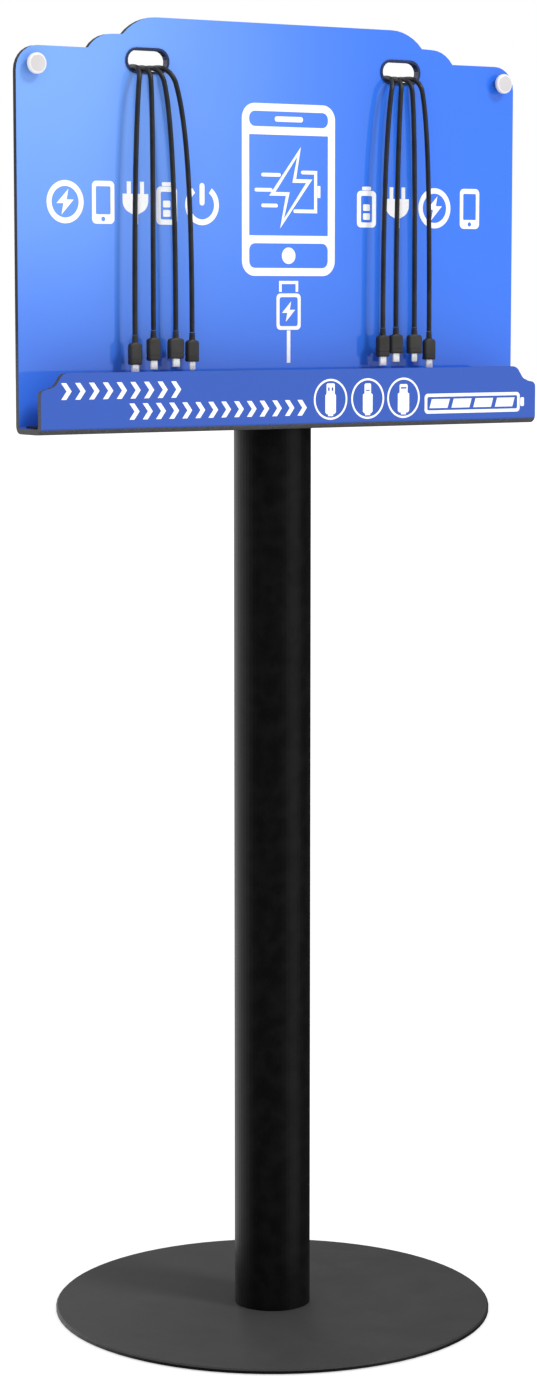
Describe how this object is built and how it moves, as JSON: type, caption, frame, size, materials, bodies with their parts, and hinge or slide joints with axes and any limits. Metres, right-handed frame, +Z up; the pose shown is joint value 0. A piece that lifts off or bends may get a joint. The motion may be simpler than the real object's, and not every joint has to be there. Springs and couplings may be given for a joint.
{
  "type": "phone charging kiosk",
  "caption": "Free-standing phone charging kiosk: a glossy blue board with a marquee top and a tray, charging cords hanging from slots, rear housing, round column and disc base.",
  "frame": {"origin": "on the floor, on the column axis, which is the middle of the round base", "axes": "+Z up, -Y towards the user, so the printed board faces -Y, +X to the right as the user sees it"},
  "size_m": [0.534, 0.404, 1.1785],
  "materials": {
    "board_blue": "high gloss printed sheet",
    "trim_navy": "satin moulded edge trim",
    "cap_white": "satin",
    "zinc_steel": "zinc plated",
    "powder_black": "fine texture powder coat",
    "base_charcoal": "fine texture powder coat",
    "chrome": "polished",
    "black_plastic": "moulded",
    "grey_plastic": "moulded",
    "rubber_black": "matt",
    "cord_black": "satin jacket",
    "plug_black": "moulded, with a bare metal tip"
  },
  "bodies": {
    "stand": {"display_panel": "board_blue", "slot_bezel_left": "trim_navy", "slot_bezel_right": "trim_navy", "standoff_cap_left": "cap_white", "standoff_cap_right": "cap_white", "standoff_stud_left": "zinc_steel", "standoff_stud_right": "zinc_steel", "standoff_nut_left": "zinc_steel", "standoff_nut_right": "zinc_steel", "panel_screw_left_low": "zinc_steel", "panel_screw_left_high": "zinc_steel", "panel_screw_right_low": "zinc_steel", "panel_screw_right_high": "zinc_steel", "hinge_leaf_fixed": "zinc_steel", "hinge_pin": "zinc_steel", "head_screw_1": "zinc_steel", "head_screw_2": "zinc_steel", "head_screw_3": "zinc_steel", "head_screw_4": "zinc_steel", "column_cap": "zinc_steel", "column_foot": "zinc_steel", "foot_screw_1": "zinc_steel", "foot_screw_2": "zinc_steel", "foot_screw_3": "zinc_steel", "rear_housing": "powder_black", "hub_shelf": "powder_black", "column_tube": "powder_black", "base_plate": "base_charcoal", "mains_inlet": "black_plastic", "switch_bezel": "black_plastic", "power_supply": "black_plastic", "charger_hub_left": "grey_plastic", "charger_hub_right": "grey_plastic", "tray_liner": "rubber_black", "base_pad": "rubber_black", "top_grommet_left": "rubber_black", "top_grommet_right": "rubber_black", "cord_l1": "cord_black", "cord_l2": "cord_black", "cord_l3": "cord_black", "cord_l4": "cord_black", "cord_r1": "cord_black", "cord_r2": "cord_black", "cord_r3": "cord_black", "cord_r4": "cord_black", "plug_l1": "plug_black", "plug_l2": "plug_black", "plug_l3": "plug_black", "plug_l4": "plug_black", "plug_r1": "plug_black", "plug_r2": "plug_black", "plug_r3": "plug_black", "plug_r4": "plug_black"},
    "door": {"service_door": "powder_black", "hinge_leaf_moving": "zinc_steel", "lock_body": "chrome", "lock_nut": "zinc_steel"},
    "lock": {"lock_plug": "chrome", "lock_cam": "zinc_steel"},
    "rocker": {"switch_rocker": "black_plastic"}
  },
  "joints": [
    {"name": "door_hinge", "type": "hinge", "parent": "stand", "child": "door", "pos_m": [-0.154, 0.0878, 1.003], "axis": [0, 0, 1], "range_deg": [0, 110]},
    {"name": "lock_turn", "type": "hinge", "parent": "door", "child": "lock", "pos_m": [0.127, 0.084, 1.003], "axis": [0, -1, 0], "range_deg": [0, 90]},
    {"name": "switch_tilt", "type": "hinge", "parent": "stand", "child": "rocker", "pos_m": [0.074, 0.0805, 0.866], "axis": [1, 0, 0], "range_deg": [0, 12]}
  ]
}
